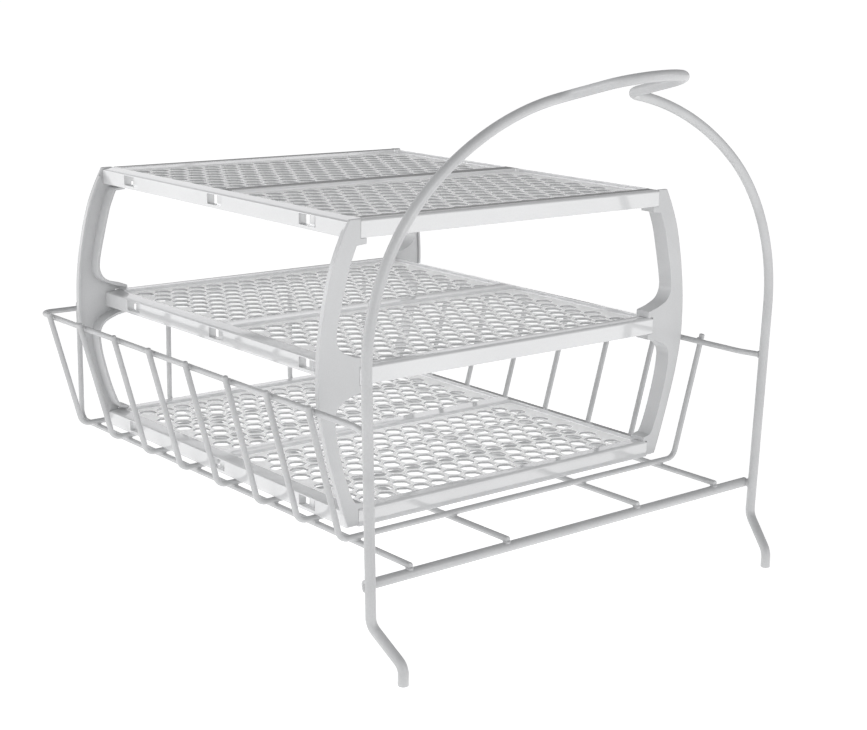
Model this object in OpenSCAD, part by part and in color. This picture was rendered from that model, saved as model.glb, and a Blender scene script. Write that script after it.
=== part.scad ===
// Shoe rack for a tumble dryer: a welded wire basket with a tall front hoop,
// holding a loose moulded tower of three perforated trays and four corner posts.
// Millimetres, +Z up, +Y runs from the hoop back into the drum.
// Origin: centre of the bounding box in X and Y, on the plane of the feet.

/* [Wire basket] */
// Diameter of the hoop and crossbar rod
rod_d = 7.5; // [6:0.5:9]
// Diameter of the basket wires
wire_d = 4.6; // [4:0.2:5]
// Half the width of the hoop between rod centres
hoop_half_w = 199.5; // [190:0.5:205]
// Height at which the hoop legs run into the arch
arch_z = 213.5; // [205:0.5:225]
// Height of the rim wire
rim_z = 169.2; // [160:0.2:175]
// Distance from the hoop back to the rear run of the rim
rim_back = 467.5; // [460:0.5:480]
// Forward offset of the feet from the hoop plane
foot_jog = 25.5; // [15:0.5:30]

/* [Top loop] */
// Half the width between the two legs of the loop
loop_half_w = 30; // [26:1:34]
// Length of the loop along its slope
loop_len = 70; // [60:1:90]
// Upward tilt of the loop in degrees
loop_tilt = 14.5; // [8:0.5:20]

/* [Tower] */
// Width of each tray
tray_w = 314.4; // [310:0.2:316]
// Depth of each tray
tray_d = 347; // [340:1:350]
// Height of each tray
tray_h = 13.4; // [12:0.2:15]
// Height from one tray to the next
tray_pitch = 103.8; // [100:0.2:106]
// Width across the flats of the drainage holes
hole_af = 13.3; // [12:0.1:14.5]
// Thickness of the corner posts
post_t = 2.5; // [2:0.5:3]
// Depth of the flange along the inner edge of each post
flange_d = 14; // [8:1:18]
// Depth of the lip along each post's outer edge
lip_d = 4.5; // [3:0.5:6]

/* [Hidden] */
$fn = 48;
rr = rod_d / 2;
wr = wire_d / 2;
bite = 0.12;                       // depth of each weld
front_y = -(loop_len * cos(loop_tilt)) - rr;
rear_wire_y = rim_back + wire_d - bite;
back_y = rear_wire_y + wr;
shift_y = -(front_y + back_y) / 2;

// arch: two side arcs and one flatter top arc, tangent to each other
arch_rise = 169.5;
arch_turn = 50;
k_arch = 1 / cos(arch_turn) - tan(arch_turn);
side_r = (arch_rise - hoop_half_w * k_arch) / (1 - k_arch);
top_r = side_r + (hoop_half_w - side_r) / cos(arch_turn);
top_cz = arch_z - (top_r - side_r) * sin(arch_turn);
side_cx = hoop_half_w - side_r;
leg_lean = 1.84;
leg_top = [side_cx + side_r * cos(leg_lean), 0, arch_z - side_r * sin(leg_lean)];
function leg_x(z) = leg_top[0] - (leg_top[2] - z) * tan(leg_lean);

cross_z = 62.5;
cross_y = rod_d - bite;
cross_half = 194.5;
floor_z = cross_z + rr + wr - bite;
rib_z = floor_z + wire_d - bite;
floor_x = [-155.7, -66.8, 66.8, 155.7];
rib_y = [66, 117, 169, 224, 278, 332, 388, 442];
rim_x = 193;
rib_foot_x = 171;
rib_slope = (rim_x + 4.67 - rib_foot_x) / (rim_z - rib_z);
rib_top_z = rim_z + 4.4;
rib_top_x = rib_foot_x + rib_slope * (rib_top_z - rib_z);

tray_y0 = 74.9;
tray_y1 = tray_y0 + tray_d;
tray_z0 = rib_z + wr + 0.3;
hw = tray_w / 2;
wall = 2.4;
flange_w = 10.7;
floor_t = 2;
recess = 3;
plate_z = tray_h - recess - floor_t;
band_w = 14;
notch_x = 148.3;
fit_gap = 0.1;
hole_p = 16.9;
row_p = 14.65;
window_y = [51.1, 172.3, 298.8];
window_l = 20;
window_h = 9;

// ---------- vector helpers ----------
function unit(v) = v / norm(v);
function turn(u, v) = acos(max(-1, min(1, u * v)));

module on_axes(x, y, z, o) {
  multmatrix([[x[0], y[0], z[0], o[0]], [x[1], y[1], z[1], o[1]], [x[2], y[2], z[2], o[2]], [0, 0, 0, 1]]) children();
}

// straight length of round wire
module rod(p, q, d) {
  w = unit(q - p);
  u = unit(abs(w[2]) < 0.9 ? cross([0, 0, 1], w) : cross([1, 0, 0], w));
  on_axes(u, cross(w, u), w, p) cylinder(h = norm(q - p), d = d);
}

// bend at corner c, from direction u to direction v
module elbow(c, u, v, r, d) {
  a = turn(u, v);
  n = unit(v - (u * v) * u);
  s = c - r * tan(a / 2) * u;
  on_axes(-n, u, cross(-n, u), s + r * n) rotate_extrude(angle = a) translate([r, 0]) circle(d = d);
}

// slightly tapered free end
module tip(p, w0, d) {
  w = unit(w0);
  u = unit(abs(w[2]) < 0.9 ? cross([0, 0, 1], w) : cross([1, 0, 0], w));
  on_axes(u, cross(w, u), w, p - 0.2 * w) cylinder(h = 1.3, d1 = d * 0.95, d2 = d * 0.6);
}

// wire through the points p, bent with the radii r at its inner corners;
// the bends swell by a twentieth of a millimetre, as drawn wire does
module wire(p, r, d) {
  n = len(p);
  g = 0.2;
  function dir(i) = unit(p[i + 1] - p[i]);
  function cut(i) = i == 0 || i == n - 1 ? 0 : r[i - 1] * tan(turn(dir(i - 1), dir(i)) / 2) - g;
  for (i = [0:n - 2]) rod(p[i] + cut(i) * dir(i), p[i + 1] - cut(i + 1) * dir(i), d);
  for (i = [1:1:n - 2]) elbow(p[i], dir(i - 1), dir(i), r[i - 1], d + 0.1);
}

module in_place() { translate([0, shift_y, 0]) children(); }

// ---------- basket ----------
loop_x0 = loop_half_w + 9.6;
loop_a = asin(loop_x0 / top_r);
arch_end = [loop_x0, 0, top_cz + top_r * cos(loop_a)];
loop_c = [loop_half_w, 0, arch_end[2] + 9.6 * tan(loop_a)];
loop_dir = [0, -cos(loop_tilt), sin(loop_tilt)];
loop_bend_r = norm(loop_c - arch_end) / tan(turn(unit(loop_c - arch_end), loop_dir) / 2);
loop_s = loop_c + (loop_len - loop_half_w) * loop_dir;

module hoop_side() {
  lean_dir = unit([leg_top[0] - leg_x(37), 0, leg_top[2] - 37]);
  wire([[186, -foot_jog, 0], [186, -foot_jog, 13.5], [leg_x(37), 0, 37], leg_top + 0.2 * lean_dir], [12, 12], rod_d);
  translate([side_cx, 0, arch_z]) rotate([90, 0, 0]) rotate([0, 0, -leg_lean])
    rotate_extrude(angle = arch_turn + leg_lean) translate([side_r, 0]) circle(d = rod_d + 0.1);
  translate([0, 0, top_cz]) rotate([90, 0, 0]) rotate([0, 0, arch_turn - 0.08])
    rotate_extrude(angle = 90 - arch_turn - loop_a + 0.13) translate([top_r, 0]) circle(d = rod_d);
  // tight bend out of the arch into the loop
  u = unit(loop_c - arch_end);
  a = turn(u, loop_dir);
  elbow(loop_c, u, loop_dir, loop_bend_r, rod_d + 0.1);
  rod(loop_c + (loop_bend_r * tan(a / 2) - 0.2) * loop_dir, loop_s + 0.2 * loop_dir, rod_d);
}

module hoop() color([0.78, 0.79, 0.80]) in_place() {
  hoop_side();
  mirror([1, 0, 0]) hoop_side();
  on_axes([1, 0, 0], loop_dir, cross([1, 0, 0], loop_dir), [0, loop_s[1], loop_s[2]])
    rotate_extrude(angle = 180) translate([loop_half_w, 0]) circle(d = rod_d + 0.1);
}

module crossbar() color([0.77, 0.78, 0.79]) in_place()
  rod([-cross_half, cross_y, cross_z], [cross_half, cross_y, cross_z], rod_d);

module rim_wire() color([0.77, 0.78, 0.79]) in_place() {
  e = [leg_x(rim_z) - 1, 3.35, rim_z];
  b = [rim_x, 21, rim_z];
  wire([e, b, [rim_x, rim_back, rim_z], [-rim_x, rim_back, rim_z], [-rim_x, b[1], rim_z], [-e[0], e[1], rim_z]],
       [20, 9, 9, 20], wire_d);
}

module rib(i) color([0.77, 0.78, 0.79]) in_place() {
  a = [-rib_top_x, rib_y[i], rib_top_z];
  b = [-rib_foot_x, rib_y[i], rib_z];
  c = [rib_foot_x, rib_y[i], rib_z];
  d = [rib_top_x, rib_y[i], rib_top_z];
  wire([a, b, c, d], [9, 9], wire_d);
  tip(a, a - b, wire_d);
  tip(d, d - c, wire_d);
}

module rib_1() rib(0);
module rib_2() rib(1);
module rib_3() rib(2);
module rib_4() rib(3);
module rib_5() rib(4);
module rib_6() rib(5);
module rib_7() rib(6);
module rib_8() rib(7);

module floor_wire(i) color([0.77, 0.78, 0.79]) in_place() {
  x = floor_x[i];
  a = [x, cross_y - 0.6, floor_z];
  c = [x, rear_wire_y, rim_z + 3.4];
  wire([a, [x, rear_wire_y, floor_z], c], [9], wire_d);
  tip(a, [0, -1, 0], wire_d);
  tip(c, [0, 0, 1], wire_d);
}

module floor_wire_1() floor_wire(0);
module floor_wire_2() floor_wire(1);
module floor_wire_3() floor_wire(2);
module floor_wire_4() floor_wire(3);

// ---------- trays ----------
module plan(inset_x, inset_y) {
  translate([-hw + inset_x, inset_y]) square([tray_w - 2 * inset_x, tray_d - 2 * inset_y]);
}

// outline with the four corners stepped in for the post plates
module plan_notched() {
  s = post_t + fit_gap;
  translate([-notch_x + fit_gap, 0]) square([2 * (notch_x - fit_gap), tray_d]);
  translate([-hw, s]) square([tray_w, tray_d - 2 * s]);
}

half_l = (tray_d - 2 * flange_w - band_w) / 2;

module halves(grow) {
  for (y = [flange_w, flange_w + half_l + band_w])
    translate([-hw + flange_w - grow, y - grow]) square([tray_w - 2 * (flange_w - grow), half_l + 2 * grow]);
}

// ten staggered rows of sixteen six-sided holes in one half
module perforations(y0) {
  for (j = [0:9], i = [0:15])
    translate([(i - 7.5) * hole_p + (j % 2 == 0 ? 1 : -1) * hole_p / 4, y0 + half_l / 2 + (j - 4.5) * row_p])
      rotate(30) circle(d = hole_af / cos(30), $fn = 6);
}

module side_wall() {
  difference() {
    union() {
      translate([-hw, post_t + fit_gap, 0]) cube([wall, tray_d - 2 * (post_t + fit_gap), tray_h - 2.4]);
      for (y = window_y) translate([-hw, y - window_l / 2 - 2, 0]) cube([6.6, window_l + 4, tray_h - 2.4]);
    }
    for (y = window_y) difference() {
      translate([-hw - 1, y - window_l / 2, tray_h - 6.8 - window_h / 2]) cube([9, window_l, window_h]);
      translate([-hw + 4.4, y - 3, 0]) cube([2.3, 6, tray_h]);
    }
  }
}

module tray_shape() {
  r = 2.4;
  s = post_t + fit_gap;
  // rim flange and middle band, with a rounded outer edge
  difference() {
    translate([0, 0, tray_h - r]) linear_extrude(r) difference() {
      plan_notched();
      halves(0);
    }
    for (m = [0, 1]) mirror([m, 0, 0]) translate([-hw, -1, tray_h - r]) difference() {
      translate([-1, 0, 0]) cube([1 + r, tray_d + 2, r + 1]);
      translate([r, -1, 0]) rotate([-90, 0, 0]) cylinder(h = tray_d + 4, r = r);
    }
    for (y = [0, 1]) translate([0, y * tray_d, tray_h - r]) mirror([0, y, 0]) difference() {
      translate([-hw - 2, -1, 0]) cube([tray_w + 4, 1 + r, r + 1]);
      translate([-hw - 3, r, 0]) rotate([0, 90, 0]) cylinder(h = tray_w + 6, r = r);
    }
  }
  // step between the rim and the sunken floor
  translate([0, 0, plate_z]) linear_extrude(tray_h - r - plate_z) difference() {
    halves(1.8);
    halves(0);
  }
  // sunken perforated floor
  translate([0, 0, plate_z]) linear_extrude(floor_t) difference() {
    halves(0.5);
    perforations(flange_w);
    perforations(flange_w + half_l + band_w);
  }
  // front and back walls
  for (m = [0, 1]) translate([0, m * tray_d, 0]) mirror([0, m, 0]) {
    translate([-notch_x + fit_gap, 0, 0]) cube([2 * (notch_x - fit_gap), wall, tray_h - r]);
    for (k = [0, 1]) mirror([k, 0, 0]) translate([notch_x - 3, s, 0]) cube([hw - notch_x + 3, wall, tray_h - r]);
    for (k = [0, 1]) mirror([k, 0, 0]) translate([notch_x - 2.6, 0, 0]) cube([2.5, s + wall, tray_h - r]);
  }
  side_wall();
  mirror([1, 0, 0]) side_wall();
}

module tray(level) color([0.90, 0.91, 0.92]) in_place()
  translate([0, tray_y0, tray_z0 + level * tray_pitch]) tray_shape();

module tray_bottom() tray(0);
module tray_middle() tray(1);
module tray_top() tray(2);

// ---------- corner posts ----------
function cr(a, b, c, d, t) = 0.5 * ((2 * b) + (c - a) * t + (2 * a - 5 * b + 4 * c - d) * t * t + (3 * b - a - 3 * c + d) * t * t * t);
// smooth curve through the points p with m steps between neighbours
function curve(p, m) = [for (i = [0:len(p) - 2], k = [0:m - 1])
  cr(p[max(0, i - 1)], p[i], p[i + 1], p[min(len(p) - 1, i + 2)], k / m), p[len(p) - 1]];
function side_normal(p, i) = let (a = p[max(0, i - 1)], b = p[min(len(p) - 1, i + 1)], t = unit(b - a)) [-t[1], t[0]];
function ribbon(p, w) = concat(p, [for (i = [len(p) - 1:-1:0]) p[i] + w * side_normal(p, i)]);

z_low = tray_z0 + tray_h;
z_mid = z_low + tray_pitch;
z_top = z_mid + tray_pitch;
post_top = z_top;
post_foot = tray_z0 + 1.6;

outer_edge = curve([[157.5, post_foot], [162.5, 91], [171.5, 120], [178.5, 146], [182.8, 171], [183.4, 195],
                    [181.5, 219], [177, 245], [171.5, 266], [165.5, 281], [160, 292], [157.6, post_top]], 4);
upper_bay = curve([[151.5, z_top - 18.5], [157.5, 263], [164, 238], [167.8, 220], [167.4, 211.5], [163, 205], [153, z_mid + 7.6]], 5);
lower_bay = curve([[153, z_mid - tray_h - 6.6], [163, 168.5], [168, 162.5], [168.9, 155], [166.8, 140], [160.5, 116], [154.5, 99.5], [151, z_low + 5]], 5);

// the flanges follow each bay's edge and turn along the tabs that grip the trays
upper_line = concat([[143, z_top - tray_h - fit_gap], [143, z_top - tray_h - 4.4]], upper_bay, [[143, z_mid + 5.2], [143, z_mid + fit_gap]]);
lower_line = concat([[143.5, z_mid - tray_h - fit_gap], [143.5, z_mid - tray_h - 4.6]], lower_bay, [[144, z_low + 3.6], [144, z_low + fit_gap]]);
outer_lip = [for (p = outer_edge) if (p[1] > 86 && p[1] < 290) p];

module post_plate() {
  g = fit_gap;
  polygon(concat(
    outer_edge,
    [[notch_x, post_top], [notch_x, z_top - tray_h - g]],
    upper_line,
    [[notch_x, z_mid + g], [notch_x, z_mid - tray_h - g]],
    lower_line,
    [[notch_x, z_low + g], [notch_x, post_foot]]));
}

module post() {
  // front right corner; the plate's outer face is at y = 0
  translate([0, post_t, 0]) rotate([90, 0, 0]) linear_extrude(post_t) post_plate();
  for (c = [upper_line, lower_line])
    translate([0, flange_d, 0]) rotate([90, 0, 0]) linear_extrude(flange_d) polygon(ribbon(c, 2.2));
  translate([0, lip_d, 0]) rotate([90, 0, 0]) linear_extrude(lip_d) polygon(ribbon(outer_lip, 2.2));
}

module post_at(mx, my) color([0.86, 0.87, 0.88]) in_place()
  translate([0, my ? tray_y1 : tray_y0, 0]) mirror([mx ? 1 : 0, 0, 0]) mirror([0, my ? 1 : 0, 0]) post();

module post_front_left() post_at(true, false);
module post_front_right() post_at(false, false);
module post_back_left() post_at(true, true);
module post_back_right() post_at(false, true);

hoop();
crossbar();
rim_wire();
rib_1();
rib_2();
rib_3();
rib_4();
rib_5();
rib_6();
rib_7();
rib_8();
floor_wire_1();
floor_wire_2();
floor_wire_3();
floor_wire_4();
tray_bottom();
tray_middle();
tray_top();
post_front_left();
post_front_right();
post_back_left();
post_back_right();
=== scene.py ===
import math
import bpy
import bmesh
import numpy as np
from mathutils import Vector, Matrix
from mathutils.geometry import delaunay_2d_cdt


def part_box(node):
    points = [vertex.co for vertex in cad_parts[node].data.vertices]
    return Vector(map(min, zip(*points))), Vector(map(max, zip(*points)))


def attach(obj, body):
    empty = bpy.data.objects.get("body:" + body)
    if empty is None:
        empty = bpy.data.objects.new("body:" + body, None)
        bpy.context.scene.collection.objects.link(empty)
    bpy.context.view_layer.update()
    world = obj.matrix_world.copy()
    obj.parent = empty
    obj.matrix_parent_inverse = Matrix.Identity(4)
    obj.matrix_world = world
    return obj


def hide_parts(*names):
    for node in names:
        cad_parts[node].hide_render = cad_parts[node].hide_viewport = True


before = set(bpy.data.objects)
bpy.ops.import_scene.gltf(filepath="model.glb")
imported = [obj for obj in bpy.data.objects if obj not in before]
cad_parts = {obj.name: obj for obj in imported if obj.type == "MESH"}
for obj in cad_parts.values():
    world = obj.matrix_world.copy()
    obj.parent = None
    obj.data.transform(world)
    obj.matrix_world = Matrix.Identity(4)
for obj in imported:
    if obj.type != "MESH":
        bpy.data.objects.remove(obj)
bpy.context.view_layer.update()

# ------------------------------------------------------------------ places
MM = 0.001
TRAY_LO, TRAY_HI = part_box("tray_bottom")
SHIFT = TRAY_LO.y / MM - 74.9            # hoop plane -> row frame, mm
TRAY_Z0 = TRAY_LO.z / MM
TRAY_H = (TRAY_HI.z - TRAY_LO.z) / MM
PITCH = (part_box("tray_middle")[0].z - TRAY_LO.z) / MM
ROD_R, WIRE_R = 3.75, 2.3
BITE = 0.12
CROSS_Z = 62.5
CROSS_Y = 7.5 - BITE
FLOOR_Z = CROSS_Z + ROD_R + WIRE_R - BITE
RIB_Z = FLOOR_Z + 2 * WIRE_R - BITE
FLOOR_X = [-155.7, -66.8, 66.8, 155.7]
RIB_Y = [66, 117, 169, 224, 278, 332, 388, 442]
RIM_X, RIM_Z, RIM_BACK = 193.0, 169.2, 467.5
REAR_Y = RIM_BACK + 2 * WIRE_R - BITE
RIB_FOOT_X = 171.0
RIB_SLOPE = (RIM_X + 4.67 - RIB_FOOT_X) / (RIM_Z - RIB_Z)
RIB_TOP_Z = RIM_Z + 4.4
RIB_TOP_X = RIB_FOOT_X + RIB_SLOPE * (RIB_TOP_Z - RIB_Z)


def V(*p):
    return np.array(p, float)


def unit(v):
    return v / np.linalg.norm(v)


# ------------------------------------------------------------------ mesh helpers
class Builder:
    """Collects rings and faces in mm, hoop frame."""

    def __init__(self):
        self.v, self.f = [], []

    def add(self, pts):
        base = len(self.v)
        self.v.extend([tuple(map(float, p)) for p in pts])
        return list(range(base, base + len(pts)))

    def bridge(self, a, b, flip=False, closed=True):
        n = len(a)
        for i in range(n if closed else n - 1):
            j = (i + 1) % n
            q = (a[i], a[j], b[j], b[i])
            self.f.append(q[::-1] if flip else q)

    def make(self, name, sharp=32, shift=True):
        me = bpy.data.meshes.new(name)
        off = SHIFT if shift else 0.0
        me.from_pydata([(x * MM, (y + off) * MM, z * MM) for x, y, z in self.v], [], self.f)
        me.validate()
        bm = bmesh.new()
        bm.from_mesh(me)
        bmesh.ops.remove_doubles(bm, verts=bm.verts, dist=1e-6)
        bmesh.ops.recalc_face_normals(bm, faces=bm.faces)
        lim = math.radians(sharp)
        for e in bm.edges:
            e.smooth = len(e.link_faces) == 2 and e.calc_face_angle(0.0) <= lim
        for f in bm.faces:
            f.smooth = True
        bm.to_mesh(me)
        bm.free()
        o = bpy.data.objects.new(name, me)
        bpy.context.scene.collection.objects.link(o)
        return o


def fillet_path(p, radii, step=7.0):
    """Polyline through p with its inner corners rounded to radii; dense on the bends."""
    out = [V(*p[0])]
    for i in range(1, len(p) - 1):
        a, c, b = V(*p[i - 1]), V(*p[i]), V(*p[i + 1])
        u, w = unit(c - a), unit(b - c)
        ang = math.acos(max(-1, min(1, float(u @ w))))
        r = radii[i - 1]
        t = r * math.tan(ang / 2)
        n = unit(w - (u @ w) * u)
        s = c - t * u
        cen = s + r * n
        k = max(2, int(math.degrees(ang) / step) + 1)
        for j in range(k + 1):
            th = ang * j / k
            out.append(cen - r * math.cos(th) * n + r * math.sin(th) * u)
    out.append(V(*p[-1]))
    return out


def sweep(B, path, r, seg=24, dome=1.15, start_dome=None, end_dome=None):
    """Round wire along path with softly domed ends."""
    path = [np.asarray(q, float) for q in path]
    clean = [path[0]]
    for q in path[1:]:
        if np.linalg.norm(q - clean[-1]) > 1e-4:
            clean.append(q)
    path = clean
    n = len(path)
    tan = []
    for i in range(n):
        if i == 0:
            t = path[1] - path[0]
        elif i == n - 1:
            t = path[-1] - path[-2]
        else:
            t = unit(path[i] - path[i - 1]) + unit(path[i + 1] - path[i])
        tan.append(unit(t))
    ref = V(0, 0, 1) if abs(tan[0][2]) < 0.9 else V(1, 0, 0)
    x = unit(np.cross(ref, tan[0]))
    rings = []
    prev = tan[0]
    for i in range(n):
        x = x - (x @ tan[i]) * tan[i]
        x = unit(x)
        y = np.cross(tan[i], x)
        rings.append((path[i], x.copy(), y.copy(), r - 0.02))
    idx = []

    def ring(c, x, y, rad):
        return B.add([c + rad * (math.cos(2 * math.pi * j / seg) * x + math.sin(2 * math.pi * j / seg) * y) for j in range(seg)])

    def cap(c, t, x, y, h):
        out = []
        for a in (0.0, 18.0, 38.0, 58.0, 76.0):
            th = math.radians(a)
            out.append(ring(c + t * h * math.sin(th), x, y, r * math.cos(th) ** 0.8))
        return out, B.add([c + t * h])[0]

    sd = dome if start_dome is None else start_dome
    ed = dome if end_dome is None else end_dome
    c0, x0, y0, _ = rings[0]
    head, tip0 = cap(c0, -tan[0], x0, y0, sd)
    for a, b in zip(head[1:], head[:-1]):
        B.bridge(a, b)
    for j in range(seg):
        B.f.append((tip0, head[-1][(j + 1) % seg], head[-1][j]))
    last = head[0]
    for c, x_, y_, rr in rings[1:-1]:
        cur = ring(c, x_, y_, rr)
        B.bridge(last, cur)
        last = cur
    c1, x1, y1, _ = rings[-1]
    tail, tip1 = cap(c1, tan[-1], x1, y1, ed)
    B.bridge(last, tail[0])
    for a, b in zip(tail[:-1], tail[1:]):
        B.bridge(a, b)
    for j in range(seg):
        B.f.append((tip1, tail[-1][j], tail[-1][(j + 1) % seg]))


def weld(B, m, n, a, s=(2.7, 2.7, 1.35), seg=14):
    """Coated weld bead: a flattened, slightly uneven pad in the crevice between two wires."""
    m, n, a = V(*m), unit(V(*n)), unit(V(*a))
    a = unit(a - (a @ n) * n)
    b = np.cross(n, a)
    rows = []
    for i in range(1, 8):
        th = math.pi * i / 8
        z, rad = math.cos(th), math.sin(th) ** 0.75
        rows.append(B.add([m + s[2] * z * n + rad * (s[0] * math.cos(2 * math.pi * j / seg) * (1 + 0.04 * math.sin(3 * j)) * a
                           + s[1] * math.sin(2 * math.pi * j / seg) * b) for j in range(seg)]))
    top, bot = B.add([m + s[2] * n])[0], B.add([m - s[2] * n])[0]
    for p, q in zip(rows[:-1], rows[1:]):
        B.bridge(p, q)
    for j in range(seg):
        B.f.append((top, rows[0][j], rows[0][(j + 1) % seg]))
        B.f.append((bot, rows[-1][(j + 1) % seg], rows[-1][j]))


# ------------------------------------------------------------------ materials
def mat(name):
    m = bpy.data.materials.new(name)
    m.use_nodes = True
    nt = m.node_tree
    nt.nodes.clear()
    out = nt.nodes.new("ShaderNodeOutputMaterial")
    p = nt.nodes.new("ShaderNodeBsdfPrincipled")
    nt.links.new(p.outputs[0], out.inputs[0])
    return m, nt, p


def N(nt, kind, **kw):
    n = nt.nodes.new(kind)
    for k, v in kw.items():
        setattr(n, k, v)
    return n


def ramp(nt, src, stops):
    r = N(nt, "ShaderNodeValToRGB")
    while len(r.color_ramp.elements) > 1:
        r.color_ramp.elements.remove(r.color_ramp.elements[-1])
    r.color_ramp.elements[0].position, c = stops[0]
    r.color_ramp.elements[0].color = (*c, 1) if len(c) == 3 else c
    for pos, c in stops[1:]:
        e = r.color_ramp.elements.new(pos)
        e.color = (*c, 1) if len(c) == 3 else c
    nt.links.new(src, r.inputs[0])
    return r.outputs[0]


def noise(nt, vec, scale, detail=3, rough=0.5):
    n = N(nt, "ShaderNodeTexNoise")
    n.inputs["Scale"].default_value = scale
    n.inputs["Detail"].default_value = detail
    n.inputs["Roughness"].default_value = rough
    nt.links.new(vec, n.inputs["Vector"])
    return n.outputs[0]


def wire_material():
    m, nt, p = mat("coated_wire")
    co = N(nt, "ShaderNodeTexCoord").outputs["Object"]
    broad = noise(nt, co, 26, 3)
    fine = noise(nt, co, 620, 2)
    col = ramp(nt, broad, [(0.30, (0.55, 0.555, 0.56)), (0.70, (0.62, 0.625, 0.63))])
    mix = N(nt, "ShaderNodeMix", data_type="RGBA", blend_type="MULTIPLY")
    mix.inputs[0].default_value = 1.0
    nt.links.new(col, mix.inputs[6])
    nt.links.new(ramp(nt, fine, [(0.30, (0.95, 0.95, 0.95)), (0.62, (1, 1, 1))]), mix.inputs[7])
    nt.links.new(mix.outputs[2], p.inputs["Base Color"])
    nt.links.new(ramp(nt, noise(nt, co, 160, 3), [(0.3, (0.30,) * 3), (0.7, (0.40,) * 3)]), p.inputs["Roughness"])
    p.inputs["Coat Weight"].default_value = 0.25
    p.inputs["Coat Roughness"].default_value = 0.18
    b = N(nt, "ShaderNodeBump")
    b.inputs["Strength"].default_value = 0.18
    b.inputs["Distance"].default_value = 0.0003
    nt.links.new(noise(nt, co, 420, 2), b.inputs["Height"])
    nt.links.new(b.outputs[0], p.inputs["Normal"])
    return m


def plastic_material(name, lo, hi, rough, coat, bump, ior=1.5):
    m, nt, p = mat(name)
    co = N(nt, "ShaderNodeTexCoord").outputs["Object"]
    col = ramp(nt, noise(nt, co, 14, 3), [(0.30, lo), (0.70, hi)])
    mix = N(nt, "ShaderNodeMix", data_type="RGBA", blend_type="MULTIPLY")
    mix.inputs[0].default_value = 1.0
    nt.links.new(col, mix.inputs[6])
    nt.links.new(ramp(nt, noise(nt, co, 900, 2), [(0.28, (0.965,) * 3), (0.6, (1,) * 3)]), mix.inputs[7])
    nt.links.new(mix.outputs[2], p.inputs["Base Color"])
    nt.links.new(ramp(nt, noise(nt, co, 70, 4), [(0.3, (rough[0],) * 3), (0.7, (rough[1],) * 3)]), p.inputs["Roughness"])
    p.inputs["IOR"].default_value = ior
    p.inputs["Coat Weight"].default_value = coat
    p.inputs["Coat Roughness"].default_value = 0.05
    b = N(nt, "ShaderNodeBump")
    b.inputs["Strength"].default_value = bump
    b.inputs["Distance"].default_value = 0.0004
    nt.links.new(noise(nt, co, 38, 2), b.inputs["Height"])
    nt.links.new(b.outputs[0], p.inputs["Normal"])
    return m


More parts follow.
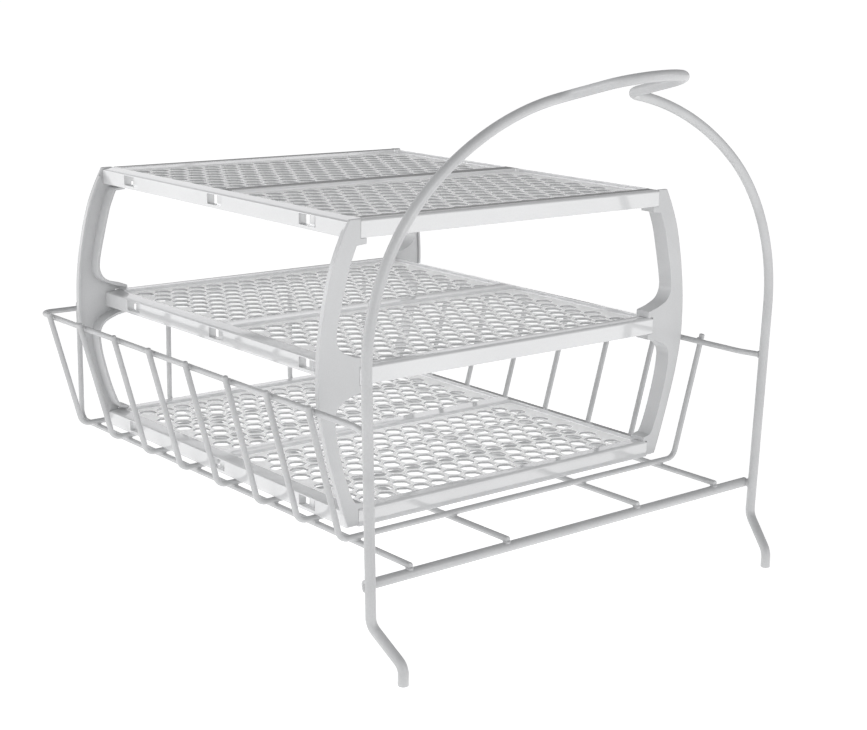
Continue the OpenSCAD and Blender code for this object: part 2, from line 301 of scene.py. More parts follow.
def paint_grille_light_and_shade(m):
    # the grille's upper skin gets a frosted finish and subsurface scattering for light passing through the thin plastic
    # from below, unlike the polished flanges; its base colour is also painted near-white and given a faint emission
    # glow, painted light that brightens the webs
    nt = m.node_tree
    p = next(n for n in nt.nodes if n.type == "BSDF_PRINCIPLED")
    sep = N(nt, "ShaderNodeSeparateXYZ")
    nt.links.new(N(nt, "ShaderNodeTexCoord").outputs["Generated"], sep.inputs[0])
    up = N(nt, "ShaderNodeSeparateXYZ")
    nt.links.new(N(nt, "ShaderNodeNewGeometry").outputs["Normal"], up.inputs[0])
    mask = N(nt, "ShaderNodeMath", operation="MULTIPLY")
    nt.links.new(ramp(nt, sep.outputs[2], [(0.735, (0,) * 3), (0.755, (1,) * 3), (0.79, (1,) * 3), (0.80, (0,) * 3)]), mask.inputs[0])
    nt.links.new(ramp(nt, up.outputs[2], [(0.4, (0,) * 3), (0.7, (1,) * 3)]), mask.inputs[1])
    # painted light: the base colour of the grille's upper skin is mixed to near-white, beside a real change of
    # roughness and coat
    for name, blend in (("Base Color", (0.97, 0.97, 0.97, 1)), ("Roughness", 0.6), ("Coat Weight", 0.0)):
        colour = name == "Base Color"
        mx = N(nt, "ShaderNodeMix", data_type="RGBA" if colour else "FLOAT")
        nt.links.new(mask.outputs[0], mx.inputs[0])
        a, b, out = (6, 7, 2) if colour else (2, 3, 0)
        if p.inputs[name].is_linked:
            nt.links.new(p.inputs[name].links[0].from_socket, mx.inputs[a])
        else:
            mx.inputs[a].default_value = p.inputs[name].default_value
        mx.inputs[b].default_value = blend
        nt.links.new(mx.outputs[out], p.inputs[name])
    nt.links.new(mask.outputs[0], p.inputs["Subsurface Weight"])
    p.inputs["Subsurface Radius"].default_value = (1.0, 1.0, 1.0)
    p.inputs["Subsurface Scale"].default_value = 0.006
    # painted light: a faint emission glow on the grille's upper skin, though it is no lamp
    painted_glow = N(nt, "ShaderNodeMath", operation="MULTIPLY")
    painted_glow.inputs[1].default_value = 0.08
    nt.links.new(mask.outputs[0], painted_glow.inputs[0])
    nt.links.new(painted_glow.outputs[0], p.inputs["Emission Strength"])
    p.inputs["Emission Color"].default_value = (1, 1, 1, 1)
    # painted shade: the bores of the holes are darkened in base colour to stand for the shade inside them
    bore_shade_mask = None
    flat = N(nt, "ShaderNodeMath", operation="ABSOLUTE")
    nt.links.new(up.outputs[2], flat.inputs[0])
    for src, stops in ((sep.outputs[2], [(0.58, 0), (0.61, 1), (0.755, 1), (0.77, 0)]), (flat.outputs[0], [(0.3, 1), (0.6, 0)]),
                       (sep.outputs[0], [(0.035, 0), (0.04, 1), (0.96, 1), (0.965, 0)]), (sep.outputs[1], [(0.03, 0), (0.035, 1), (0.965, 1), (0.97, 0)])):
        r = ramp(nt, src, [(at, (v,) * 3) for at, v in stops])
        if bore_shade_mask is None:
            bore_shade_mask = r
            continue
        mm = N(nt, "ShaderNodeMath", operation="MULTIPLY")
        nt.links.new(bore_shade_mask, mm.inputs[0])
        nt.links.new(r, mm.inputs[1])
        bore_shade_mask = mm.outputs[0]
    mx = N(nt, "ShaderNodeMix", data_type="RGBA")
    nt.links.new(bore_shade_mask, mx.inputs[0])
    nt.links.new(p.inputs["Base Color"].links[0].from_socket, mx.inputs[6])
    # painted shade colour for the hole bores
    mx.inputs[7].default_value = (0.42, 0.425, 0.43, 1)
    nt.links.new(mx.outputs[2], p.inputs["Base Color"])
    return m


WIRE = wire_material()
TRAY = plastic_material("tray_plastic", (0.74, 0.745, 0.75), (0.79, 0.795, 0.80), (0.05, 0.10), 1.0, 0.03, 2.5)
# frosted grille finish, with painted light on its upper skin and painted shade in the hole bores
paint_grille_light_and_shade(TRAY)
POST = plastic_material("post_plastic", (0.62, 0.625, 0.63), (0.68, 0.685, 0.69), (0.28, 0.38), 0.2, 0.08, 1.5)


def place(o, node, body, material):
    o.data.materials.clear()
    o.data.materials.append(material)
    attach(o, body)
    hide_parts(node)
    return o


# ------------------------------------------------------------------ basket wires
HOOP_W, ARCH_Z, RISE, TURN = 199.5, 213.5, 169.5, math.radians(50)
k_arch = 1 / math.cos(TURN) - math.tan(TURN)
SIDE_R = (RISE - HOOP_W * k_arch) / (1 - k_arch)
TOP_R = SIDE_R + (HOOP_W - SIDE_R) / math.cos(TURN)
TOP_CZ = ARCH_Z - (TOP_R - SIDE_R) * math.sin(TURN)
SIDE_CX = HOOP_W - SIDE_R
LEAN = math.radians(1.84)
LEG_TOP = V(SIDE_CX + SIDE_R * math.cos(LEAN), 0, ARCH_Z - SIDE_R * math.sin(LEAN))
LOOP_W, LOOP_L, TILT = 30.0, 70.0, math.radians(14.5)


def leg_x(z):
    return LEG_TOP[0] - (LEG_TOP[2] - z) * math.tan(LEAN)


def hoop_path():
    right = fillet_path([(186, -25.5, 0.9), (186, -25.5, 13.5), (leg_x(37), 0, 37), tuple(LEG_TOP)], [12, 12], 5)
    n = 18
    for i in range(1, n + 1):
        t = -LEAN + (TURN + LEAN) * i / n
        right.append(V(SIDE_CX + SIDE_R * math.cos(t), 0, ARCH_Z + SIDE_R * math.sin(t)))
    x0 = LOOP_W + 9.6
    la = math.asin(x0 / TOP_R)
    end = math.pi / 2 - la
    for i in range(1, n + 1):
        t = TURN + (end - TURN) * i / n
        right.append(V(TOP_R * math.cos(t), 0, TOP_CZ + TOP_R * math.sin(t)))
    arch_end = right[-1]
    corner = V(LOOP_W, 0, arch_end[2] + 9.6 * math.tan(la))
    d = V(0, -math.cos(TILT), math.sin(TILT))
    s = corner + (LOOP_L - LOOP_W) * d
    u = unit(corner - arch_end)
    ang = math.acos(float(u @ d))
    rb = np.linalg.norm(corner - arch_end) / math.tan(ang / 2)
    right += fillet_path([tuple(arch_end), tuple(corner), tuple(s)], [rb * 0.999], 6)[1:]
    mid = []
    for i in range(1, 24):
        t = math.pi * i / 24
        mid.append(V(LOOP_W * math.cos(t), 0, 0) + V(0, s[1], s[2]) + LOOP_W * math.sin(t) * d)
    left = [V(-q[0], q[1], q[2]) for q in right]
    return right + mid + left[::-1]


B = Builder()
sweep(B, hoop_path(), ROD_R, 32, start_dome=0.9, end_dome=0.9)
hoop = place(B.make("hoop_rod"), "hoop", "basket", WIRE)

B = Builder()
sweep(B, [V(-193.6, CROSS_Y, CROSS_Z), V(-60, CROSS_Y, CROSS_Z), V(60, CROSS_Y, CROSS_Z), V(193.6, CROSS_Y, CROSS_Z)], ROD_R, 32, dome=0.9)
for s in (-1, 1):
    weld(B, (s * leg_x(CROSS_Z), 3.75, CROSS_Z), (0, 1, 0), (1, 0, 0), (3.7, 3.9, 1.9), 18)
place(B.make("crossbar_rod"), "crossbar", "basket", WIRE)

B = Builder()
ex = leg_x(RIM_Z) - 1
rim = fillet_path([(ex, 3.6, RIM_Z), (RIM_X, 21, RIM_Z), (RIM_X, RIM_BACK, RIM_Z), (-RIM_X, RIM_BACK, RIM_Z), (-RIM_X, 21, RIM_Z), (-ex, 3.6, RIM_Z)], [20, 9, 9, 20], 7)
sweep(B, rim, WIRE_R, 24, dome=0.6)
for s in (-1, 1):
    weld(B, (s * (ex + 0.2), 4.0, RIM_Z), (0, 1, 0), (1, 0, 0), (3.0, 3.0, 1.5), 16)
place(B.make("rim_round_wire"), "rim_wire", "basket", WIRE)

for i, y in enumerate(RIB_Y):
    B = Builder()
    path = fillet_path([(-RIB_TOP_X, y, RIB_TOP_Z), (-RIB_FOOT_X, y, RIB_Z), (RIB_FOOT_X, y, RIB_Z), (RIB_TOP_X, y, RIB_TOP_Z)], [9, 9], 6)
    sweep(B, path, WIRE_R, 24)
    for s in (-1, 1):
        # against the rim
        px = RIB_FOOT_X + RIB_SLOPE * (RIM_Z - RIB_Z)
        weld(B, (s * (px + RIM_X) / 2, y, RIM_Z + 0.6), (s * 1, 0, -0.28), (0, 1, 0))
    for x in FLOOR_X:
        weld(B, (x, y, (RIB_Z + FLOOR_Z) / 2), (0, 0, 1), (1, 0, 0), (2.6, 2.6, 1.3))
    place(B.make(f"rib_wire_{i + 1}"), f"rib_{i + 1}", "basket", WIRE)

for i, x in enumerate(FLOOR_X):
    B = Builder()
    path = fillet_path([(x, CROSS_Y - 0.6, FLOOR_Z), (x, REAR_Y, FLOOR_Z), (x, REAR_Y, RIM_Z + 3.4)], [9], 6)
    sweep(B, path, WIRE_R, 24)
    weld(B, (x, CROSS_Y, CROSS_Z + ROD_R), (0, 0, 1), (1, 0, 0), (2.9, 3.1, 1.4))
    weld(B, (x, (REAR_Y + RIM_BACK) / 2, RIM_Z), (0, 1, 0), (1, 0, 0))
    place(B.make(f"floor_rod_{i + 1}"), f"floor_wire_{i + 1}", "basket", WIRE)

# ------------------------------------------------------------------ trays
TW, TD, H = 314.4, 347.0, TRAY_H
HW = TW / 2
WALL, FLANGE, FLOOR_T, RECESS, BAND = 2.4, 10.7, 2.0, 3.0, 14.0
PLATE_Z = H - RECESS - FLOOR_T
POST_T, GAP, NOTCH = 2.5, 0.1, 148.3
HALF = (TD - 2 * FLANGE - BAND) / 2
HOLE_P, ROW_P, HOLE_AF = 16.9, 14.65, 13.3


def rect_ring(x0, y0, x1, y1, r, n=5):
    """Rounded rectangle, counter-clockwise."""
    r = max(r, 0.02)
    out = []
    for cx, cy, a0 in ((x1 - r, y0 + r, -90), (x1 - r, y1 - r, 0), (x0 + r, y1 - r, 90), (x0 + r, y0 + r, 180)):
        for i in range(n + 1):
            a = math.radians(a0 + 90 * i / n)
            out.append((cx + r * math.cos(a), cy + r * math.sin(a)))
    return out


def outline(ins, s=POST_T + GAP, g=GAP):
    """Tray plan with stepped corners, moved inwards by ins."""
    nx = NOTCH - g
    pts = [(-nx, 0), (nx, 0), (nx, s), (HW, s), (HW, TD - s), (nx, TD - s), (nx, TD), (-nx, TD), (-nx, TD - s), (-HW, TD - s), (-HW, s), (-nx, s)]
    n = len(pts)
    out = []
    for i in range(n):
        a, b, c = pts[i - 1], pts[i], pts[(i + 1) % n]
        d1 = (b[0] - a[0], b[1] - a[1])
        d2 = (c[0] - b[0], c[1] - b[1])
        l1, l2 = math.hypot(*d1), math.hypot(*d2)
        n1, n2 = (-d1[1] / l1, d1[0] / l1), (-d2[1] / l2, d2[0] / l2)   # left side is inside for ccw
        out.append((b[0] + ins * (n1[0] + n2[0]), b[1] + ins * (n1[1] + n2[1])))
    return out


def hole_ring(cx, cy, grow=0.0, n=3, cr=3.2):
    """Six-sided hole with rounded corners, flats facing its neighbours."""
    R = (HOLE_AF / 2 + grow) / math.cos(math.pi / 6)
    c = cr + grow
    d = c / math.cos(math.pi / 6)
    out = []
    for k in range(6):
        a = math.radians(30 + 60 * k)
        kx, ky = cx + (R - d) * math.cos(a), cy + (R - d) * math.sin(a)
        for i in range(n + 1):
            t = a - math.pi / 6 + math.pi / 3 * i / n
            out.append((kx + c * math.cos(t), ky + c * math.sin(t)))
    return out


def cdt_face(B, outer, holes, z_idx, up=True):
    """Flat face between index rings: outer and holes are (2-D points, vertex indices)."""
    co, idx, edges = [], [], []
    for pts, ids in [outer] + holes:
        b = len(co)
        co += [Vector(p) for p in pts]
        idx += ids
        edges += [(b + i, b + (i + 1) % len(pts)) for i in range(len(pts))]
    vo, _, fo, ov, _, _ = delaunay_2d_cdt(co, edges, [], 0, 1e-5)
    # keep the triangles inside outer and outside every hole, by flood from the constraint edges
    cons = {frozenset(e) for e in edges}
    mapped = [o[0] if o else None for o in ov]
    tri = [tuple(f) for f in fo]
    edge_map = {}
    for t, f in enumerate(tri):
        for i in range(len(f)):
            edge_map.setdefault(frozenset((f[i], f[(i + 1) % len(f)])), []).append(t)

    def constrained(e):
        a, b = tuple(e)
        ma, mb = mapped[a], mapped[b]
        return ma is not None and mb is not None and frozenset((ma, mb)) in cons

    depth = [-1] * len(tri)
    stack = []
    for e, ts in edge_map.items():
        if len(ts) == 1:
            stack.append((ts[0], 1 if constrained(e) else 0))
    while stack:
        t, d = stack.pop()
        if depth[t] != -1:
            continue
        depth[t] = d
        f = tri[t]
        for i in range(len(f)):
            e = frozenset((f[i], f[(i + 1) % len(f)]))
            for o in edge_map[e]:
                if o != t and depth[o] == -1:
                    stack.append((o, d + 1 if constrained(e) else d))
    for t, f in enumerate(tri):
        if depth[t] % 2 == 1:
            ids = [idx[mapped[i]] for i in f]
            B.f.append(tuple(ids) if up else tuple(ids[::-1]))


def ring3(B, pts, z):
    return B.add([(x, y, z) for x, y in pts])


def hole_centres(y0):
    for j in range(10):
        for i in range(16):
            yield (i - 7.5) * HOLE_P + (1 if j % 2 == 0 else -1) * HOLE_P / 4, y0 + HALF / 2 + (j - 4.5) * ROW_P


def arc_steps(r, n):
    return [(r * (1 - math.cos(math.radians(90 * i / n))), r * math.sin(math.radians(90 * i / n))) for i in range(n + 1)]


FALL = 1.2
WINDOW_Y = [51.1, 172.3, 298.8]
WIN_L, WIN_H, WIN_DROP = 20.0, 8.0, 6.8


def build_tray(name):
    B = Builder()
    R = 2.4
    # outer skin: bottom lip, side walls (front and back only; the two long sides are cut for windows), rounded top edge
    rings = []
    for ins, z in [(0.45, 0.0), (0.13, 0.13), (0.0, 0.45), (0.0, H - R)]:
        rings.append(ring3(B, outline(ins), z))
    for ins, dz in arc_steps(R, 6)[1:]:
        rings.append(B.add([(x, y, H - R + dz - FALL * (abs(x) - HW + FLANGE) / (FLANGE - R) * (dz / R)) if abs(x) > HW - FLANGE else (x, y, H - R + dz)
                            for x, y in outline(ins)]))
    nside = 12
    for k, (a, b) in enumerate(zip(rings[:-1], rings[1:])):
        for i in range(nside):
            j = (i + 1) % nside
            if k == 2 and i in (3, 9):      # window walls, at x = +HW (edge 3) and x = -HW (edge 9)
                continue
            B.f.append((a[i], a[j], b[j], b[i]))
    # recesses
    top_holes = []
    floor_rings = []
    for y0 in (FLANGE, FLANGE + HALF + BAND):
        prof = [(0.55, H), (0.16, H - 0.16), (0.0, H - 0.55), (0.0, H - RECESS + 0.7), (-0.2, H - RECESS + 0.2), (-0.7, H - RECESS)]
        rr = []
        for g, z in prof:
            pts = rect_ring(-HW + FLANGE - g, y0 - g, HW - FLANGE + g, y0 + HALF + g, 3.2 + g)
            rr.append((pts, ring3(B, pts, z)))
        for (p, a), (q, b) in zip(rr[:-1], rr[1:]):
            B.bridge(a, b, flip=True)
        top_holes.append(rr[0])
        floor_rings.append((y0, rr[-1]))
    cdt_face(B, (outline(R), rings[-1]), top_holes, H)
    # underside: lip, inner face of the outer wall, channel roof, step wall, floor plate
    inner = []
    for ins, z in [(WALL - 0.3, 0.0), (WALL, 0.3), (WALL, H - R)]:
        inner.append((outline(ins, ), ring3(B, outline(ins), z)))
    lip = (outline(0.45), rings[0])
    for i in range(nside):
        j = (i + 1) % nside
        B.f.append((rings[0][j], rings[0][i], inner[0][1][i], inner[0][1][j]))
    for k, ((_, a), (_, b)) in enumerate(zip(inner[:-1], inner[1:])):
        for i in range(nside):
            if k == 1 and i in (3, 9):
                continue
            j = (i + 1) % nside
            B.f.append((a[j], a[i], b[i], b[j]))
    under = []
    for y0, (fp, fi) in floor_rings:
        g = 1.8
        pts = rect_ring(-HW + FLANGE - g, y0 - g, HW - FLANGE + g, y0 + HALF + g, 4.0)
        up = ring3(B, pts, H - R)
        dn = ring3(B, pts, PLATE_Z)
        B.bridge(up, dn, flip=True)
        under.append((pts, up))
        tops, bots = [], []
        for cx, cy in hole_centres(y0):
            prof = [(0.35, H - RECESS), (0.12, H - RECESS - 0.1), (0.0, H - RECESS - 0.35), (0.0, PLATE_Z + 0.3), (0.3, PLATE_Z)]
            rr = []
            for gr, z in prof:
                hp = hole_ring(cx, cy, gr)
                rr.append((hp, ring3(B, hp, z)))
            for (p, a), (q, b) in zip(rr[:-1], rr[1:]):
                B.bridge(a, b, flip=True)
            tops.append(rr[0])
            bots.append(rr[-1])
        cdt_face(B, (fp, fi), tops, 0)
        cdt_face(B, (pts, dn), bots, 0, up=False)
    cdt_face(B, inner[-1], under, 0, up=False)
    # window walls
    for s, i in ((1, 3), (-1, 9)):
        j = (i + 1) % nside
        lo, hi = sorted((outline(0)[i][1], outline(0)[j][1]))
        ilo, ihi = sorted((inner[1][0][i][1], inner[1][0][j][1]))
        outer_pts, outer_ids, inner_pts, inner_ids = [], [], [], []
        # reuse the wall's own corner vertices
        oc = [rings[2][i], rings[2][j], rings[3][j], rings[3][i]]
        ic = [inner[1][1][i], inner[1][1][j], inner[2][1][j], inner[2][1][i]]
        op = [(B.v[k][1], B.v[k][2]) for k in oc]
        ip = [(B.v[k][1], B.v[k][2]) for k in ic]
        oh, ih = [], []
        for wy in WINDOW_Y:
            zc = H - WIN_DROP
            x_out, x_in = s * HW, s * (HW - WALL)
            prof = [(0.35, x_out), (0.1, x_out - s * 0.1), (0.0, x_out - s * 0.35), (0.0, x_in)]
            rr = []
            for g, x in prof:
                q = rect_ring(wy - WIN_L / 2 - g, zc - WIN_H / 2 - g, wy + WIN_L / 2 + g, zc + WIN_H / 2 + g, 0.5 + g, 3)
                rr.append((q, B.add([(x, a, b) for a, b in q])))
            for (p, a), (q, b) in zip(rr[:-1], rr[1:]):
                B.bridge(a, b, flip=(s > 0))
            oh.append(rr[0])
            ih.append(rr[-1])
            # moulded socket behind the window: a frame and an upright catch
            for (ya, yb, za, zb, xa, xb) in (
                (wy - WIN_L / 2 - 2, wy - WIN_L / 2, 0.4, H - R, HW - WALL, HW - 6.6),
                (wy + WIN_L / 2, wy + WIN_L / 2 + 2, 0.4, H - R, HW - WALL, HW - 6.6),
                (wy - WIN_L / 2 - 0.3, wy + WIN_L / 2 + 0.3, 0.5, zc - WIN_H / 2, HW - WALL, HW - 6.5),
                (wy - 3, wy + 3, zc - WIN_H / 2 - 0.3, zc + WIN_H / 2 + 0.3, HW - 4.4, HW - 6.4),
            ):
                box(B, s * xb, s * xa, ya, yb, za, zb)
        cdt_face(B, (op, oc), oh, 0, up=(s > 0))
        cdt_face(B, (ip, ic), ih, 0, up=(s < 0))
    return B


def box(B, x0, x1, y0, y1, z0, z1, c=0.25):
    """Small block with chamfered edges."""
    x0, x1 = min(x0, x1), max(x0, x1)
    lv = []
    for z, g in ((z0, c), (z0 + c, 0), (z1 - c, 0), (z1, c)):
        lv.append(B.add([(x0 + g, y0 + g, z), (x1 - g, y0 + g, z), (x1 - g, y1 - g, z), (x0 + g, y1 - g, z)]))
    B.f.append(tuple(lv[0][::-1]))
    for a, b in zip(lv[:-1], lv[1:]):
        B.bridge(a, b)
    B.f.append(tuple(lv[-1]))


def weighted(o):
    w = o.modifiers.new("even_normals", "WEIGHTED_NORMAL")
    w.keep_sharp = True
    w.weight = 50
    return o


tray_src = build_tray("tray")
for k, node in enumerate(("tray_bottom", "tray_middle", "tray_top")):
    T = Builder()
    z = TRAY_Z0 + k * PITCH
    T.v = [(x, y + 74.9, zz + z) for x, y, zz in tray_src.v]
    T.f = tray_src.f
    o = T.make(f"shelf_{node[5:]}", 30)
    weighted(o)
    place(o, node, "tower", TRAY)

# ------------------------------------------------------------------ posts
Z_LOW = TRAY_Z0 + H
Z_MID = Z_LOW + PITCH
Z_TOP = Z_MID + PITCH
POST_FOOT = TRAY_Z0 + 1.6


def curve(p, m):
    out = []
    p = [V(*q) for q in p]
    for i in range(len(p) - 1):
        a, b, c, d = p[max(0, i - 1)], p[i], p[i + 1], p[min(len(p) - 1, i + 2)]
        for k in range(m):
            t = k / m
            out.append(0.5 * (2 * b + (c - a) * t + (2 * a - 5 * b + 4 * c - d) * t * t + (3 * b - a - 3 * c + d) * t ** 3))
    out.append(p[-1])
    return out


OUTER = curve([(157.5, POST_FOOT), (162.5, 91), (171.5, 120), (178.5, 146), (182.8, 171), (183.4, 195), (181.5, 219), (177, 245),
               (171.5, 266), (165.5, 281), (160, 292), (157.6, Z_TOP)], 8)
UPPER = curve([(151.5, Z_TOP - 18.5), (157.5, 263), (164, 238), (167.8, 220), (167.4, 211.5), (163, 205), (153, Z_MID + 7.6)], 10)
LOWER = curve([(153, Z_MID - H - 6.6), (163, 168.5), (168, 162.5), (168.9, 155), (166.8, 140), (160.5, 116), (154.5, 99.5), (151, Z_LOW + 5)], 10)
FLANGE_D, FLANGE_T, LIP_D = 14.0, 2.2, 4.5
UPPER_LINE = [V(143, Z_TOP - H - GAP), V(143, Z_TOP - H - 4.4)] + UPPER + [V(143, Z_MID + 5.2), V(143, Z_MID + GAP)]
LOWER_LINE = [V(143.5, Z_MID - H - GAP), V(143.5, Z_MID - H - 4.6)] + LOWER + [V(144, Z_LOW + 3.6), V(144, Z_LOW + GAP)]
OUTER_LIP = [p for p in OUTER if 86 < p[1] < 290]


def ribbon_back(p, w):
    out = []
    for i in range(len(p)):
        a, b = p[max(0, i - 1)], p[min(len(p) - 1, i + 1)]
        t = unit(b - a)
        out.append(p[i] + w * V(-t[1], t[0]))
    return out


def inside(pt, poly):
    x, y = pt
    c = False
    n = len(poly)
    for i in range(n):
        x1, y1 = poly[i]
        x2, y2 = poly[i - 1]
        if (y1 > y) != (y2 > y) and x < (x2 - x1) * (y - y1) / (y2 - y1) + x1:
            c = not c
    return c


def build_post():
    """Front right post; outer face of the plate at y = 0, flanges run to +y."""
    g = GAP
    pts = ([tuple(q) for q in OUTER] + [(NOTCH, Z_TOP), (NOTCH, Z_TOP - H - g)] + [tuple(q) for q in UPPER_LINE] +
           [(NOTCH, Z_MID + g), (NOTCH, Z_MID - H - g)] + [tuple(q) for q in LOWER_LINE] + [(NOTCH, Z_LOW + g), (NOTCH, POST_FOOT)])
    n = len(pts)
    co = [Vector(p) for p in pts]
    edges = [(i, (i + 1) % n) for i in range(n)]
    strips = []
    for c in (UPPER_LINE, LOWER_LINE, OUTER_LIP):
        back = [tuple(q) for q in ribbon_back(c, FLANGE_T)]
        i0 = next(i for i, p in enumerate(pts) if abs(p[0] - c[0][0]) < 1e-9 and abs(p[1] - c[0][1]) < 1e-9)
        m = len(c)
        b = len(co)
        co += [Vector(p) for p in back]
        edges += [(b + i, b + i + 1) for i in range(m - 1)] + [(i0, b), (i0 + m - 1, b + m - 1)]
        strips.append([tuple(q) for q in c] + back[::-1])
    vo, _, fo, _, _, _ = delaunay_2d_cdt(co, edges, [], 0, 1e-5)
    vo = [tuple(v) for v in vo]
    B = Builder()
    depth = [POST_T, LIP_D, FLANGE_D]
    layer = {}

    def vid(i, y):
        if (i, y) not in layer:
            layer[(i, y)] = B.add([(vo[i][0], y, vo[i][1])])[0]
        return layer[(i, y)]

    emap = {}
    for f in fo:
        c = (sum(vo[i][0] for i in f) / len(f), sum(vo[i][1] for i in f) / len(f))
        if not inside(c, pts):
            continue
        k = 0
        if inside(c, strips[2]):
            k = 1
        if inside(c, strips[0]) or inside(c, strips[1]):
            k = 2
        f = tuple(f)
        B.f.append(tuple(vid(i, 0.0) for i in f))
        B.f.append(tuple(vid(i, depth[k]) for i in f[::-1]))
        for a, b in zip(f, f[1:] + f[:1]):
            emap.setdefault(frozenset((a, b)), []).append((k, a, b))
    for users in emap.values():
        users.sort()
        k, a, b = users[-1]
        low = 0.0 if len(users) == 1 else depth[users[0][0]]
        ys = [low] + [d for d in depth if low < d <= depth[k]]
        for y0, y1 in zip(ys[:-1], ys[1:]):
            B.f.append((vid(b, y0), vid(a, y0), vid(a, y1), vid(b, y1)))
    return B


post_src = build_post()


def finish_post(o):
    bm = bmesh.new()
    bm.from_mesh(o.data)
    bmesh.ops.dissolve_limit(bm, angle_limit=math.radians(0.5), verts=bm.verts, edges=bm.edges)
    bm.to_mesh(o.data)
    bm.free()
    b = o.modifiers.new("edges", "BEVEL")
    b.width = 0.0006
    b.segments = 3
    b.limit_method = "ANGLE"
    b.angle_limit = math.radians(34)
    b.harden_normals = False
    dg = bpy.context.evaluated_depsgraph_get()
    me = bpy.data.meshes.new_from_object(o.evaluated_get(dg))
    o.modifiers.clear()
    o.data = me
    bm = bmesh.new()
    bm.from_mesh(me)
    for f in bm.faces:
        f.smooth = True
    for e in bm.edges:
        e.smooth = len(e.link_faces) == 2 and e.calc_face_angle(0.0) <= math.radians(34)
    bm.to_mesh(me)
    bm.free()
    weighted(o)
    return o


for node in ("post_front_left", "post_front_right", "post_back_left", "post_back_right"):
    P = Builder()
    sx = -1 if node.endswith("left") else 1
    back = "back" in node
    y0 = 74.9 + (TD if back else 0)
    sy = -1 if back else 1
    P.v = [(sx * x, y0 + sy * y, z) for x, y, z in post_src.v]
    P.f = post_src.f
    o = finish_post(P.make("upright_" + node[5:], 30))
    place(o, node, "tower", POST)

# ------------------------------------------------------------------ stage, light, camera
def floor_material():
    m, nt, p = mat("studio_floor")
    co = N(nt, "ShaderNodeTexCoord").outputs["Object"]
    nt.links.new(ramp(nt, noise(nt, co, 3, 2), [(0.3, (0.54,) * 3), (0.7, (0.56,) * 3)]), p.inputs["Base Color"])
    p.inputs["Roughness"].default_value = 1.0
    p.inputs["Specular IOR Level"].default_value = 0.0
    p.inputs["Emission Color"].default_value = (1.0, 1.0, 1.0, 1.0)
    p.inputs["Emission Strength"].default_value = 0.84
    return m


me = bpy.data.meshes.new("studio_floor")
S = 160.0
me.from_pydata([(-S, -S, -0.0005), (S, -S, -0.0005), (S, S, -0.0005), (-S, S, -0.0005)], [], [(0, 1, 2, 3)])
floor = bpy.data.objects.new("studio_floor", me)
bpy.context.scene.collection.objects.link(floor)
floor.data.materials.append(floor_material())

world = bpy.data.worlds.new("studio")
bpy.context.scene.world = world
world.use_nodes = True
nt = world.node_tree
nt.nodes.clear()
wout = nt.nodes.new("ShaderNodeOutputWorld")
bg = nt.nodes.new("ShaderNodeBackground")
nt.links.new(bg.outputs[0], wout.inputs[0])
tc = nt.nodes.new("ShaderNodeTexCoord")


def along(vec):
    """How far the direction points along vec, as 0..1."""
    d = N(nt, "ShaderNodeVectorMath", operation="DOT_PRODUCT")
    nt.links.new(tc.outputs["Generated"], d.inputs[0])
    d.inputs[1].default_value = vec
    m = N(nt, "ShaderNodeMapRange")
    m.inputs["From Min"].default_value = -1.0
    m.inputs["From Max"].default_value = 1.0
    nt.links.new(d.outputs["Value"], m.inputs["Value"])
    return m.outputs[0]


def g(v):
    return (v, v, v * 1.004)


def times(a, b, op="MULTIPLY"):
    m = N(nt, "ShaderNodeMix", data_type="RGBA", blend_type=op)
    m.inputs[0].default_value = 1.0
    m.clamp_result = False
    nt.links.new(a, m.inputs[6])
    nt.links.new(b, m.inputs[7])
    return m.outputs[2]


# a dark curtain behind, bright screens to the left and the front, a dim ceiling
low_sides = ramp(nt, along((0.35, 0.937, 0.0)), [(0.0, g(0.70)), (0.30, g(0.70)), (0.56, g(1.0)), (0.66, g(1.1)), (0.78, g(1.1)), (0.86, g(0.40)), (1.0, g(0.20))])
high_sides = ramp(nt, along((0.35, 0.937, 0.0)), [(0.0, g(0.70)), (0.5, g(0.85)), (0.8, g(1.2)), (1.0, g(1.2))])
right_dim = ramp(nt, along((1.0, 0.0, 0.0)), [(0.0, g(1.1)), (0.5, g(1.0)), (0.80, g(0.90)), (0.90, g(0.60)), (1.0, g(0.50))])
height = ramp(nt, along((0.0, 0.0, 1.0)), [(0.5, g(1.0)), (0.66, g(0.95)), (0.80, g(0.40)), (1.0, g(0.15))])
lift = ramp(nt, along((0.0, 0.0, 1.0)), [(0.57, g(0.0)), (0.61, g(1.0))])
front_panel = ramp(nt, along((0.5, -0.866, 0.0)), [(0.968, g(0.0)), (0.990, g(1.0))])
left_panel = ramp(nt, along((-0.66, 0.75, 0.0)), [(0.92, g(0.0)), (0.975, g(1.0))])
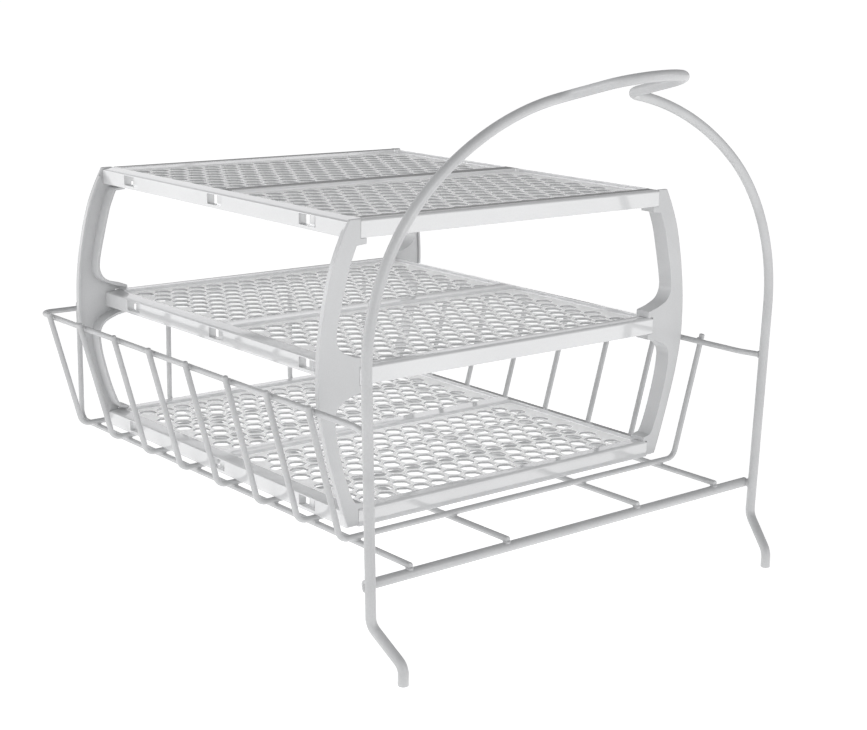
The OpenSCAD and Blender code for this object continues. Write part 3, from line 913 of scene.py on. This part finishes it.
low_sides = times(times(low_sides, front_panel, "ADD"), times(left_panel, left_panel, "ADD"), "ADD")
blend = N(nt, "ShaderNodeMix", data_type="RGBA", blend_type="MIX")
nt.links.new(lift, blend.inputs[0])
nt.links.new(low_sides, blend.inputs[6])
nt.links.new(high_sides, blend.inputs[7])
nt.links.new(times(times(blend.outputs[2], right_dim), height), bg.inputs[0])
bg.inputs[1].default_value = 1.0


def area(name, loc, target, size, power, size_y=None):
    d = bpy.data.lights.new(name, "AREA")
    d.energy = power
    d.shape = "RECTANGLE"
    d.size = size
    d.size_y = size_y or size
    o = bpy.data.objects.new(name, d)
    bpy.context.scene.collection.objects.link(o)
    o.location = loc
    o.rotation_mode = "QUATERNION"
    o.rotation_quaternion = (Vector(target) - Vector(loc)).to_track_quat("-Z", "Y")
    return o


area("key_left", (-2.4, 0.2, 0.75), (0, 0, 0.18), 1.6, 5, 1.0)
area("fill_front", (0.8, -5.4, 1.2), (0, 0, 0.18), 2.8, 46, 1.8)

cam_d = bpy.data.cameras.new("camera")
cam = bpy.data.objects.new("camera", cam_d)
bpy.context.scene.collection.objects.link(cam)
yaw, pitch, roll = math.radians(-40.93), math.radians(13.25), math.radians(1.36)
fwd = -V(math.sin(yaw) * math.cos(pitch), -math.cos(yaw) * math.cos(pitch), math.sin(pitch))
right = unit(np.cross(fwd, V(0, 0, 1)))
up = np.cross(right, fwd)
r2 = math.cos(roll) * right + math.sin(roll) * up
u2 = -math.sin(roll) * right + math.cos(roll) * up
cam.matrix_world = Matrix(((r2[0], u2[0], -fwd[0], -824.64 * MM), (r2[1], u2[1], -fwd[1], (-820.67 + SHIFT) * MM), (r2[2], u2[2], -fwd[2], 463.61 * MM), (0, 0, 0, 1)))
cam_d.sensor_width = 36.0
cam_d.lens = 36.0 * 1656.35 / 867
cam_d.shift_x = (433.5 - 468.97) / 867
cam_d.shift_y = (359.46 - 365.0) / 867
cam_d.clip_start, cam_d.clip_end = 0.05, 60
bpy.context.scene.camera = cam
bpy.context.scene.view_settings.view_transform = "Standard"
